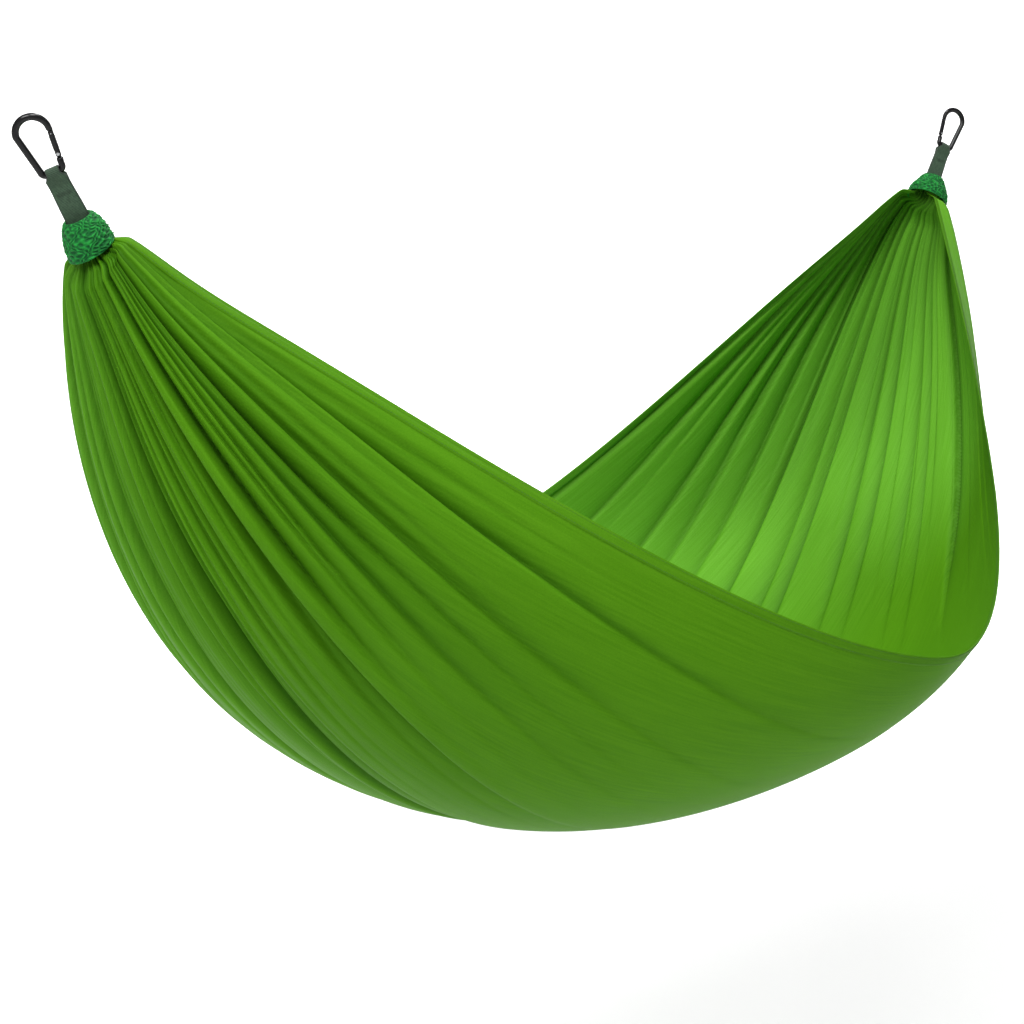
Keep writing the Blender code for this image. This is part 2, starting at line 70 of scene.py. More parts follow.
# The hem's width, how much wider its band is drawn, and half its thickness from inner edge to rim.
HEM_W = 0.013
HEM_COVER = 1.15
HEM_HALF = (0.00035, 0.0009, 0.00075, 0.00085, 0.00075, 0.0009, 0.0005)
# Hem stitches: pitch, length and thread radius.
STITCH = (0.0042, 0.0030, 0.00028)
# Puckers along the hems: seeds, waves in radians per metre, share of the thickness.
HEM_SEED = {-1: 5, 1: 6}
PUCKER_FREQ = (160.0, 240.0, 390.0)
PUCKER = 0.22
# Strength of the painted shade in the creases, that of the right end's on top of it, and the shade's
# colour.
CREASE_SHADE = 0.92
RIGHT_CREASE_SHADE = 0.92
CREASE_SHADE_TONE = (0.004, 0.050, 0.0015)
# Painted light, a paler tone towards the rear rim and the right end: where it starts and over what
# length it grows.
# First across the cloth, in half widths, then along it in metres: the right end and its rear part.
PAINTED_LIGHT_ACROSS = (-0.45, 1.25)
PAINTED_LIGHT_RIGHT = (1.9, 0.35)
PAINTED_LIGHT_REAR_RIGHT = (1.5, 0.7)
# The share of the first two, and what the cloth's colour is multiplied by where it is palest.
PAINTED_LIGHT_SHARE = 0.70
PAINTED_LIGHT_GAIN = (2.10, 1.95, 7.0)

# ---- pleats: count, depth, strength of painted shade, nearest and farthest reach of each tier -
LEFT_TIERS = ((20, 1.0, 1.0, 0.45, 1.20), (30, 0.80, 0.6, 0.30, 0.75), (44, 0.55, 0.4, 0.10, 0.35))
RIGHT_TIERS = ((18, 1.0, 1.0, 1.00, 1.60), (26, 0.60, 0.7, 0.25, 0.75), (44, 0.40, 0.4, 0.10, 0.30))
# Each end's pleats: seed, share leaning forwards, steep and gentle flanks, height, painted shade on the
# flanks.
LEFT_PLEATS = (11, 0.35, (0.045, 0.09), (0.22, 0.40), 0.66, 0.46)
RIGHT_PLEATS = (29, 0.92, (0.03, 0.055), (0.30, 0.50), 0.35, 0.24)
# The pleats take up what this width, in metres, has over the width of the hang at each row.
FULL_WIDTH = 1.40
# Beyond this distance from the knot, and over this length, the pleats of an end die out.
PLEAT_END = 1.75
PLEAT_TAIL = 0.75

# ---- studio -----------------------------------------------------------------
# Camera: turn from the front, height above level, place, sensor width, focal length.
YAW = math.radians(42.51)
PITCH = math.radians(12.38)
EYE = (-1.0492, -1.9456, 0.0245)
SENSOR_MM = 36.0
FOCAL_MM = SENSOR_MM * 1883.0 / 1024.0
# Floor: level, half its width, near end, where it turns up, the turn's radius, and the wall's height.
FLOOR_Z = -2.20
FLOOR_HALF = 30
FLOOR_NEAR = -26.0
SWEEP_AT = 7.0
SWEEP_R = 3.0
WALL_TOP = 9.0
# The surround's strength and the floor's own glow.
WORLD = 0.36
GLOW = 0.17
# Lights: place, disc diameter, watts; the wash falls on the wall behind.
KEY = ((-0.9, -1.7, 3.1), 1.2, 72.0)
SIDE = ((-1.8, -0.9, 1.6), 1.2, 43.0)
OVERHEAD = ((1.2, 0.2, 3.3), 1.2, 88.0)
WASH = 1100.0
WASH_SIZE = 4.0


def down(side):
    """Direction from the anchor seat to the knot: the line of pull."""
    return np.array([-side * math.cos(PULL), 0.0, -math.sin(PULL)])


def seat(side):
    """Inside of the carabiner's crown, where the anchor bears."""
    return np.array([0.0 if side < 0 else SPAN + 2 * KNOT_D * math.cos(PULL), 0.0, 0.0])


def knot(side):
    return seat(side) + down(side) * KNOT_D


def outward(side):
    """Square to the line of pull, upwards and out of the hang."""
    return np.array([side * math.sin(PULL), 0.0, -math.cos(PULL)])


def end_axes(side):
    """Axes of one end's hardware: s across the webbing, n through it, d down the line of pull."""
    d = down(side)
    s = outward(side) * math.cos(TWIST[side]) + np.array([0.0, 1.0, 0.0]) * math.sin(TWIST[side])
    return s, np.cross(d, s), d


def place(side, s, n, d):
    """A point given along one end's axes from its anchor seat."""
    es, en, ed = end_axes(side)
    return seat(side) + es * s + en * n + ed * d


MID = (knot(-1) + knot(1)) / 2


def smooth(t):
    """0 below 0, 1 above 1, with an easy rise between."""
    t = np.clip(t, 0.0, 1.0)
    return t * t * (3.0 - 2.0 * t)


def sag(u, law):
    """Drop below the knots' line at u, from -1 to 1 along the span."""
    depth, a, b, shift = law
    w = np.clip(u + shift * (1.0 - u * u), -1.0, 1.0)
    return depth * np.maximum(1.0 - np.abs(w) ** a, 0.0) ** b


def thread(v, count=900):
    """One lengthwise thread: the front rim at v = -1, the bottom line at 0, the rear rim at 1."""
    u = -np.cos(np.linspace(0.0, math.pi, count))
    low = sag(u, BOTTOM)
    y = sag(u, FRONT_Y if v < 0 else REAR_Y)
    z = sag(u, FRONT_Z if v < 0 else REAR_Z)
    rim = np.hypot(y, z)
    turn = np.arctan2(y + 1e-9, z + 1e-9) * v
    r = low + (rim - low) * abs(v) ** BELLY
    return np.stack([u * HALF, r * np.sin(turn), -r * np.cos(turn)], axis=1)


def even(points, q):
    """Points at the fractions q of a line's length, and their distances from its two ends."""
    step = np.linalg.norm(np.diff(points, axis=0), axis=1)
    run = np.concatenate([[0.0], np.cumsum(step)])
    at = q * run[-1]
    out = np.stack([np.interp(at, run, points[:, k]) for k in range(3)], axis=1)
    return out, at, run[-1] - at


def bunch(v, side):
    """Where a thread lies on the bunched end's ring."""
    a = v * BUNCH_ARC
    return BUNCH_R * (outward(side) * math.cos(a) + np.array([0.0, 1.0, 0.0]) * math.sin(a))


def line(v, q):
    """One thread's points, and its distances from the left and right knots."""
    pts, dl, dr = even(thread(v), q)
    far = np.minimum(dl, dr)
    left = (dl < dr)[:, None]
    half = np.array([HALF, 0.0, 0.0])
    lead = np.where(left, -half + down(-1) * far[:, None], half + down(1) * far[:, None])
    k = smooth((far - NECK_LEAD) / (NECK - NECK_SHORTER * v * v - NECK_LEAD))[:, None]
    pts = lead + (pts - lead) * k
    ring = np.where(left, bunch(v, -1)[None, :], bunch(v, 1)[None, :])
    return pts + ring * np.exp(-((far / BUNCH_FADE) ** 2))[:, None], dl, dr


def width_law():
    """v of each thread as a function of w, its place across the flat cloth."""
    vs = np.linspace(-1.0, 1.0, 201)
    mid = np.stack([even(thread(v), np.array([0.5]))[0][0] for v in vs])
    run = np.concatenate([[0.0], np.cumsum(np.linalg.norm(np.diff(mid, axis=0), axis=1))])
    return -1.0 + 2.0 * run / run[-1], vs


W_TABLE, V_TABLE = width_law()


def row_places():
    """Fractions of a thread's length, closer together near the knots."""
    t = np.linspace(0.0, 1.0, NU)
    return 0.60 * 0.5 * (1.0 - np.cos(math.pi * t)) + 0.40 * t


def base_cloth():
    """The smooth hang on a grid: points, distances to the knots, and w of each column."""
    q = row_places()
    w = np.linspace(-1.0, 1.0, NV)
    v = np.interp(w, W_TABLE, V_TABLE)
    cols = [line(x, q) for x in v]
    pts = np.stack([c[0] for c in cols], axis=1) + MID
    dl = np.stack([c[1] for c in cols], axis=1)
    dr = np.stack([c[2] for c in cols], axis=1)
    return pts, dl, dr, w


def grid_normals(pts):
    """Unit normals of a grid of points."""
    du = np.gradient(pts, axis=0)
    dv = np.gradient(pts, axis=1)
    n = np.cross(dv, du)
    return n / np.maximum(np.linalg.norm(n, axis=2, keepdims=True), 1e-12)


# ---- pleats -----------------------------------------------------------------
def fold_set(seed, tiers, weight, lean, steep, gentle):
    """Valley lines of one gathered end, each with a steep and a gentle flank, in shares of the pitch."""
    rng = np.random.default_rng(seed)
    out = []
    for count, scale, dark, near_end, far_end in tiers:
        for i in range(count):
            w0 = -1.0 + 2.0 * (i + 0.5 + rng.uniform(-0.38, 0.38)) / count
            out.append({"w": w0, "depth": scale * rng.uniform(0.55, 1.0) * weight(w0), "count": count,
                        "reach": rng.uniform(near_end, far_end), "steep": rng.uniform(*steep),
                        "gentle": rng.uniform(*gentle), "lean": -1 if rng.uniform() < lean else 1,
                        "drift": rng.uniform(-0.03, 0.03), "wave": rng.uniform(0.0, 0.006),
                        "phase": rng.uniform(0.0, 6.28), "dark": rng.uniform(0.5, 1.0) * dark})
    return out


def valley_field(folds, across, dist, width, sweep, tall, shading):
    """Depth of the pleats below the smooth hang in metres, and how much painted shade each point gets in
    the creases.
    """
    height = np.zeros_like(dist)
    painted_shade = np.zeros_like(dist)
    spare = np.sqrt(np.clip((FULL_WIDTH / width) ** 2 - 1.0, 0.0, 1.7))[:, None]
    close = np.exp(-(dist / 0.26) ** 2)
    for f in folds:
        pitch = width[:, None] / f["count"]
        centre = f["w"] + f["drift"] * dist + sweep(f["w"]) * dist ** 2
        centre = centre + f["wave"] * np.sin(6.0 * dist + f["phase"]) * smooth(dist / 0.3)
        x = (across - centre) * width[:, None] / 2
        flank = np.where(x * f["lean"] > 0, f["steep"], f["gentle"]) * pitch
        shape = np.exp(-(np.sqrt(x * x + (0.025 * pitch) ** 2) / flank) ** 1.1)
        fade = 1.0 / (1.0 + np.exp((dist - f["reach"]) / (0.06 + 0.10 * f["reach"])))
        height += tall * pitch * f["depth"] * fade * shape * (1.0 - 0.45 * smooth((dist - 0.45) / 0.45))
        # Painted shade: a dark line along each valley and shade over its flanks, stronger close to the
        # knot.
        line = np.exp(-(np.abs(x) / (0.34 * flank + 0.0014)) ** 1.3)
        dark = f["dark"] * np.minimum(0.70 * line + shading * shape, 1.0)
        dark = dark + 0.35 * (1.0 - f["dark"]) * close * line
        painted_shade = painted_shade + (1.0 - painted_shade) * min(f["depth"], 1.0) * fade * dark
    return height * spare, painted_shade * np.minimum(0.70 + 0.8 * spare, 1.0)


def left_weight(w):
    """How deep the left end's pleats are across the cloth: a little less at the front rim."""
    return 0.75 if w < -0.93 else 1.0


def right_weight(w):
    """The right end's pleats stop in one deep fold, beyond which the front part hangs smooth."""
    if w > -0.36:
        return 1.0
    return 1.35 if w > -0.46 else 0.12


def left_sweep(w):
    """How the left end's valleys bend towards the bottom line with distance."""
    return -0.45 * w * (1.0 - abs(w))


def right_sweep(w):
    """How the right end's valleys bend towards the front with distance."""
    return -0.24 * (1.0 - w)


def front_calm(across, dist):
    """The right end's pleats die early below the bottom line, where the front hangs smooth."""
    return 1.0 - smooth((0.05 - across) / 0.25) * smooth((dist - 0.60) / 0.35)


def pleated(pts, dl, dr, w):
    """The hang with its pleats, and how much painted shade each point gets in the creases of each end.
    """
    steps = np.linalg.norm(np.diff(pts, axis=1), axis=2)
    width = steps.sum(axis=1)
    across = np.concatenate([np.zeros((len(pts), 1)), np.cumsum(steps, axis=1)], axis=1)
    across = -1.0 + 2.0 * across / width[:, None]
    n = grid_normals(pts)
    seed, lean, steep, gentle, tall, shading = LEFT_PLEATS
    folds = fold_set(seed, LEFT_TIERS, left_weight, lean, steep, gentle)
    hl, cl = valley_field(folds, across, dl, width, left_sweep, tall, shading)
    seed, lean, steep, gentle, tall, shading = RIGHT_PLEATS
    folds = fold_set(seed, RIGHT_TIERS, right_weight, lean, steep, gentle)
    hr, cr = valley_field(folds, across, dr, width, right_sweep, tall, shading)
    gl = smooth((PLEAT_END - dl) / PLEAT_TAIL)
    gr = smooth((PLEAT_END - dr) / PLEAT_TAIL) * front_calm(across, dr)
    edge = 0.30 + 0.70 * smooth((1.0 - np.abs(w)) / 0.05)[None, :]
    level = 0.45 * (hl * gl).mean(axis=1, keepdims=True) - 0.45 * (hr * gr).mean(axis=1, keepdims=True)
    out = pts + n * (-hl * gl * edge + hr * gr * edge + level)[:, :, None]
    return out, cl * gl * edge, RIGHT_CREASE_SHADE * cr * gr * edge


# ---- materials --------------------------------------------------------------
def new_material(name):
    """A node material with its node and link lists and its main shader."""
    mat = bpy.data.materials.new(name)
    mat.use_nodes = True
    return mat, mat.node_tree.nodes, mat.node_tree.links, mat.node_tree.nodes["Principled BSDF"]


def ramp(nodes, stops):
    """A colour ramp from its stops, each a place and a colour."""
    node = nodes.new("ShaderNodeValToRGB")
    els = node.color_ramp.elements
    while len(els) < len(stops):
        els.new(0.5)
    for el, (at, colour) in zip(els, stops):
        el.position = at
        el.color = (*colour, 1.0)
    return node


def uv_scaled(nodes, links, scale):
    """The cloth's flat coordinates in metres, scaled."""
    uv = nodes.new("ShaderNodeUVMap")
    uv.uv_map = "UVMap"
    mapping = nodes.new("ShaderNodeMapping")
    mapping.inputs["Scale"].default_value = scale
    links.new(uv.outputs["UV"], mapping.inputs["Vector"])
    return mapping.outputs["Vector"]


def attribute(nodes, name):
    """A number stored per point."""
    node = nodes.new("ShaderNodeAttribute")
    node.attribute_name = name
    return node.outputs["Fac"]


def object_coords(nodes):
    return nodes.new("ShaderNodeTexCoord").outputs["Object"]


def noise(nodes, links, vector, scale, detail=3.0, rough=0.55):
    tex = nodes.new("ShaderNodeTexNoise")
    tex.inputs["Scale"].default_value = scale
    tex.inputs["Detail"].default_value = detail
    tex.inputs["Roughness"].default_value = rough
    links.new(vector, tex.inputs["Vector"])
    return tex.outputs["Fac"]


def math_node(nodes, links, op, a, b):
    """One sum on two inputs, each a number or a socket."""
    node = nodes.new("ShaderNodeMath")
    node.operation = op
    for k, x in enumerate((a, b)):
        if isinstance(x, (int, float)):
            node.inputs[k].default_value = x
        else:
            links.new(x, node.inputs[k])
    return node.outputs[0]


def mix_rgb(nodes, links, fac, a, b, mode="MIX"):
    """Two colours mixed, each a tuple or a socket."""
    node = nodes.new("ShaderNodeMix")
    node.data_type = "RGBA"
    node.blend_type = mode
    if isinstance(fac, (int, float)):
        node.inputs["Factor"].default_value = fac
    else:
        links.new(fac, node.inputs["Factor"])
    for x, name in ((a, "A"), (b, "B")):
        sock = [s for s in node.inputs if s.name == name and s.type == "RGBA"][0]
        if isinstance(x, tuple):
            sock.default_value = (*x, 1.0)
        else:
            links.new(x, sock)
    return [s for s in node.outputs if s.type == "RGBA"][0]


def bump(nodes, links, height, strength, distance, normal=None):
    """Relief without geometry, on top of another relief if one is given."""
    node = nodes.new("ShaderNodeBump")
    node.inputs["Strength"].default_value = strength
    node.inputs["Distance"].default_value = distance
    links.new(height, node.inputs["Height"])
    if normal is not None:
        links.new(normal, node.inputs["Normal"])
    return node.outputs["Normal"]


def cloth_material(name, light, dark):
    """Thin nylon: streaks along the threads, a fine crepe grain, painted shade in the creases and
    painted light towards the rear rim and the right end.
    """
    mat, nodes, links, bsdf = new_material(name)
    streak = noise(nodes, links, uv_scaled(nodes, links, (330.0, 7.0, 1.0)), 1.0, 4.0, 0.6)
    cloud = noise(nodes, links, uv_scaled(nodes, links, (5.0, 1.6, 1.0)), 1.0, 3.0, 0.5)
    grain = noise(nodes, links, uv_scaled(nodes, links, (430.0, 560.0, 1.0)), 1.0, 3.0, 0.7)
    base = ramp(nodes, [(0.30, dark), (0.72, light)])
    blend = math_node(nodes, links, "MULTIPLY_ADD", grain, 0.45)
    half = math_node(nodes, links, "MULTIPLY", streak, 0.55)
    links.new(half, blend.node.inputs[2])
    links.new(blend, base.inputs["Fac"])
    clouds = ramp(nodes, [(0.3, (0.90, 0.91, 0.88)), (0.7, (1.07, 1.06, 1.05))])
    links.new(cloud, clouds.inputs["Fac"])
    tone = mix_rgb(nodes, links, 1.0, base.outputs["Color"], clouds.outputs["Color"], "MULTIPLY")
    # Painted light: the tone multiplied up towards the rear rim and the right end.
    lifted = mix_rgb(nodes, links, 1.0, tone, PAINTED_LIGHT_GAIN, "MULTIPLY")
    tone = mix_rgb(nodes, links, attribute(nodes, "painted_light"), tone, lifted)
    # Painted shade in the creases.
    tone = mix_rgb(nodes, links, attribute(nodes, "painted_shade"), tone, CREASE_SHADE_TONE)
    links.new(tone, bsdf.inputs["Base Color"])
    rough = math_node(nodes, links, "MULTIPLY_ADD", streak, 0.18)
    rough.node.inputs[2].default_value = 0.44
    links.new(rough, bsdf.inputs["Roughness"])
    first = bump(nodes, links, streak, 0.30, 0.0006)
    links.new(bump(nodes, links, grain, 0.40, 0.0008, first), bsdf.inputs["Normal"])
    bsdf.inputs["Sheen Weight"].default_value = 0.01
    bsdf.inputs["Sheen Roughness"].default_value = 0.45
    bsdf.inputs["Sheen Tint"].default_value = (0.55, 0.95, 0.35, 1.0)
    bsdf.inputs["Specular IOR Level"].default_value = 0.05
    return mat


def sleeve_material():
    """The deep green of the ruched sleeves, patchy, with painted shade between the gathers."""
    mat, nodes, links, bsdf = new_material("ruched_deep_green")
    grain = noise(nodes, links, object_coords(nodes), 900.0, 3.0, 0.6)
    patch = noise(nodes, links, object_coords(nodes), 120.0, 3.0, 0.55)
    base = ramp(nodes, [(0.30, (0.006, 0.170, 0.022)), (0.62, (0.012, 0.300, 0.040)),
                        (0.85, (0.03, 0.46, 0.07))])
    links.new(patch, base.inputs["Fac"])
    # Painted shade between the gathers.
    painted_shade = attribute(nodes, "painted_shade")
    tone = mix_rgb(nodes, links, painted_shade, base.outputs["Color"], (0.001, 0.060, 0.016))
    links.new(tone, bsdf.inputs["Base Color"])
    bsdf.inputs["Roughness"].default_value = 0.72
    bsdf.inputs["Sheen Weight"].default_value = 0.06
    bsdf.inputs["Specular IOR Level"].default_value = 0.2
    links.new(bump(nodes, links, grain, 0.5, 0.0005), bsdf.inputs["Normal"])
    return mat


def webbing_material():
    """Flat webbing: cross ribs, mottled yarn, and painted shade on the rolled edges and where it is
    drawn in round the bar.
    """
    mat, nodes, links, bsdf = new_material("webbing_dark_green")
    rib = nodes.new("ShaderNodeTexWave")
    rib.wave_type = "BANDS"
    rib.bands_direction = "Y"
    rib.inputs["Scale"].default_value = 1.0
    rib.inputs["Distortion"].default_value = 0.6
    rib.inputs["Detail"].default_value = 2.0
    links.new(uv_scaled(nodes, links, (180.0, 190.0, 1.0)), rib.inputs["Vector"])
    warp = nodes.new("ShaderNodeTexWave")
    warp.wave_type = "BANDS"
    warp.bands_direction = "X"
    warp.inputs["Scale"].default_value = 1.0
    warp.inputs["Distortion"].default_value = 0.4
    links.new(uv_scaled(nodes, links, (260.0, 60.0, 1.0)), warp.inputs["Vector"])
    both = math_node(nodes, links, "ADD", rib.outputs["Fac"], warp.outputs["Fac"])
    tones = ramp(nodes, [(0.34, (0.013, 0.036, 0.017)), (0.66, (0.058, 0.118, 0.063))])
    half = math_node(nodes, links, "MULTIPLY", both, 0.5)
    mottle = noise(nodes, links, uv_scaled(nodes, links, (260.0, 160.0, 1.0)), 1.0, 3.0, 0.6)
    mixed = math_node(nodes, links, "MULTIPLY_ADD", half, 0.5)
    links.new(math_node(nodes, links, "MULTIPLY", mottle, 0.5), mixed.node.inputs[2])
    links.new(mixed, tones.inputs["Fac"])
    # Painted shade on the rolled edges and round the bar.
    edge = attribute(nodes, "painted_shade")
    tone = mix_rgb(nodes, links, edge, tones.outputs["Color"], (0.006, 0.013, 0.008))
    links.new(tone, bsdf.inputs["Base Color"])
    bsdf.inputs["Roughness"].default_value = 0.80
    bsdf.inputs["Sheen Weight"].default_value = 0.15
    links.new(bump(nodes, links, half, 0.6, 0.0004), bsdf.inputs["Normal"])
    return mat


def thread_material(name, colour):
    """Twisted thread or cord in one colour with its own shade."""
    mat, nodes, links, bsdf = new_material(name)
    grain = noise(nodes, links, object_coords(nodes), 2500.0, 2.0, 0.6)
    tones = ramp(nodes, [(0.3, tuple(c * 0.6 for c in colour)), (0.7, colour)])
    links.new(grain, tones.inputs["Fac"])
    links.new(tones.outputs["Color"], bsdf.inputs["Base Color"])
    bsdf.inputs["Roughness"].default_value = 0.65
    links.new(bump(nodes, links, grain, 0.4, 0.0002), bsdf.inputs["Normal"])
    return mat


def black_metal():
    """Black anodised alloy, glossy, with faint scuffs."""
    mat, nodes, links, bsdf = new_material("black_anodised")
    scuff = noise(nodes, links, object_coords(nodes), 700.0, 4.0, 0.7)
    wear = ramp(nodes, [(0.55, (0.0045, 0.0045, 0.005)), (0.85, (0.016, 0.016, 0.017))])
    links.new(scuff, wear.inputs["Fac"])
    links.new(wear.outputs["Color"], bsdf.inputs["Base Color"])
    rough = math_node(nodes, links, "MULTIPLY_ADD", scuff, 0.14)
    rough.node.inputs[2].default_value = 0.10
    links.new(rough, bsdf.inputs["Roughness"])
    bsdf.inputs["Specular IOR Level"].default_value = 0.34
    bsdf.inputs["Coat Weight"].default_value = 0.05
    bsdf.inputs["Coat Roughness"].default_value = 0.05
    links.new(bump(nodes, links, scuff, 0.05, 0.0002), bsdf.inputs["Normal"])
    return mat


def bright_steel():
    """Plain bright steel with a light brush."""
    mat, nodes, links, bsdf = new_material("bright_steel")
    brush = noise(nodes, links, object_coords(nodes), 3000.0, 2.0, 0.5)
    tones = ramp(nodes, [(0.3, (0.42, 0.43, 0.44)), (0.7, (0.62, 0.63, 0.64))])
    links.new(brush, tones.inputs["Fac"])
    links.new(tones.outputs["Color"], bsdf.inputs["Base Color"])
    bsdf.inputs["Metallic"].default_value = 1.0
    bsdf.inputs["Roughness"].default_value = 0.24
    return mat


# ---- mesh helpers -----------------------------------------------------------
def mesh_object(name, verts, faces, mat, uv=None, painted_shade=None):
    """A smooth-shaded mesh with its material, and per point a uv and how much painted shade it gets."""
    mesh = bpy.data.meshes.new(name)
    verts = np.asarray(verts, float).reshape(-1, 3)
    faces = np.asarray(faces, int)
    size = faces.shape[1]
    mesh.vertices.add(len(verts))
    mesh.vertices.foreach_set("co", verts.astype(np.float32).ravel())
    mesh.loops.add(len(faces) * size)
    mesh.loops.foreach_set("vertex_index", faces.ravel().astype(np.int32))
    mesh.polygons.add(len(faces))
    mesh.polygons.foreach_set("loop_start", np.arange(0, len(faces) * size, size, dtype=np.int32))
    mesh.update(calc_edges=True)
    if uv is not None:
        layer = mesh.uv_layers.new(name="UVMap")
        layer.data.foreach_set("uv", np.asarray(uv, np.float32)[faces.ravel()].ravel())
    mesh.shade_smooth()
    mesh.materials.append(mat)
    obj = bpy.data.objects.new(name, mesh)
    if painted_shade is not None:
        point_value(obj, "painted_shade", painted_shade)
    bpy.context.scene.collection.objects.link(obj)
    return obj


def point_value(obj, name, values):
    """Store one number per point for the materials."""
    att = obj.data.attributes.new(name, "FLOAT", "POINT")
    att.data.foreach_set("value", np.asarray(values, np.float32).ravel())


def grid_faces(ni, nj, wrap_i=False, wrap_j=False):
    """Quads of a grid of ni by nj points, closed on itself where asked."""
    i = np.arange(ni if wrap_i else ni - 1)
    j = np.arange(nj if wrap_j else nj - 1)
    a, b = np.meshgrid(i, j, indexing="ij")
    a1, b1 = (a + 1) % ni, (b + 1) % nj
    return np.stack([a * nj + b, a1 * nj + b, a1 * nj + b1, a * nj + b1], axis=2).reshape(-1, 4)


def thick_strip(name, mid, normal, half, mat, uv):
    """A closed strip from a grid of mid points, each pushed half its thickness to both sides."""
    ni, nj = mid.shape[:2]
    push = normal * half[..., None]
    loop = np.concatenate([mid + push, (mid - push)[:, ::-1]], axis=1)
    luv = np.concatenate([uv, uv[:, ::-1]], axis=1)
    verts = loop.reshape(-1, 3)
    faces = grid_faces(ni, 2 * nj, wrap_j=True)
    obj = mesh_object(name, verts, faces, mat, luv.reshape(-1, 2))
    bm = bmesh.new()
    bm.from_mesh(obj.data)
    bm.verts.ensure_lookup_table()
    n = 2 * nj
    for base, flip in ((0, False), ((ni - 1) * n, True)):
        for k in range(nj - 1):
            quad = [bm.verts[base + m] for m in (k, k + 1, n - 2 - k, n - 1 - k)]
            bm.faces.new(list(reversed(quad)) if flip else quad)
    bmesh.ops.recalc_face_normals(bm, faces=bm.faces)
    bm.to_mesh(obj.data)
    bm.free()
    obj.data.shade_smooth()
    return obj


# ---- cloth bed --------------------------------------------------------------
def cloth_bed(mats):
    """The bed: one continuous sheet, hung, pleated and tucked into both sleeves."""
    pts, dl, dr, w = base_cloth()
    out, shade_left, shade_right = pleated(pts, dl, dr, w)
    head = out[0] - down(-1) * TUCK
    tail = out[-1] - down(1) * TUCK
    full = np.concatenate([head[None], out, tail[None]], axis=0)
    total = dl + dr
    v_len = np.concatenate([dl[:1] - TUCK, dl, total[-1:] + TUCK], axis=0)
    uv = np.stack([np.broadcast_to(w * FLAT_W / 2, v_len.shape), v_len], axis=2)
    # Painted shade along the pleats, the right end's on top of the left's.
    dark = np.clip(np.maximum(shade_left, shade_right), 0, 1)
    dark = CREASE_SHADE * np.concatenate([dark[:1], dark, dark[-1:]], axis=0)
    obj = mesh_object("bed_cloth", full, grid_faces(NU + 2, NV), mats["cloth"], uv.reshape(-1, 2), dark)
    # Painted light: paler towards the rear rim and the right end.
    rear = smooth((w - PAINTED_LIGHT_ACROSS[0]) / PAINTED_LIGHT_ACROSS[1])[None, :]
    painted_light = PAINTED_LIGHT_SHARE * np.maximum(rear, smooth((v_len - PAINTED_LIGHT_RIGHT[0]) / PAINTED_LIGHT_RIGHT[1]))
    far_end = smooth((v_len - PAINTED_LIGHT_REAR_RIGHT[0]) / PAINTED_LIGHT_REAR_RIGHT[1])
    painted_light = painted_light + (1.0 - PAINTED_LIGHT_SHARE) * rear * far_end
    point_value(obj, "painted_light", painted_light)
    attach(obj, "bed")
    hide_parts("bed_fabric_left", "bed_fabric_middle", "bed_fabric_right")
    return obj, full, v_len, w


def hem(side, name, node, full, v_len, w, mats):
    """The folded edge: a flat band over the cloth's rim, a little proud on both faces."""
    count = len(HEM_HALF)
    inner = 1.0 - 2 * HEM_W / FLAT_W * HEM_COVER
    ws = side * np.linspace(inner, 1.0, count)
    grid = np.zeros((full.shape[0], count, 3))
    lens = np.zeros((full.shape[0], count))
    for k in range(3):
        for i in range(full.shape[0]):
            grid[i, :, k] = np.interp(ws, w, full[i, :, k])
    for i in range(full.shape[0]):
        lens[i] = np.interp(ws, w, v_len[i])
    n = grid_normals(grid)
    rng = np.random.default_rng(HEM_SEED[side])
    pucker = np.zeros(full.shape[0])
    s = lens[:, 3]
    for f in PUCKER_FREQ:
        pucker += np.sin(s * f + rng.uniform(0, 6)) / 3
    t = np.linspace(0.0, 1.0, count)
    half = np.array(HEM_HALF)[None, :] * (1.0 + PUCKER * pucker[:, None] * np.sin(math.pi * t)[None, :])
    uv = np.stack([np.broadcast_to(ws * FLAT_W / 2, lens.shape), lens], axis=2)
    obj = thick_strip(name, grid, n, half, mats["hem"], uv)
    # No painted shade on the hems; painted light on the rear hem, as on the rear of the bed.
    point_value(obj, "painted_shade", np.zeros(len(obj.data.vertices)))
    point_value(obj, "painted_light", np.full(len(obj.data.vertices), 0.0 if side < 0 else PAINTED_LIGHT_SHARE))
    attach(obj, "bed")
    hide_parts(node)
    stitches = stitch_rows(name + "_stitches", grid, n, lens, half, mats["stitch"], (1, 5))
    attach(stitches, "bed")
    return obj


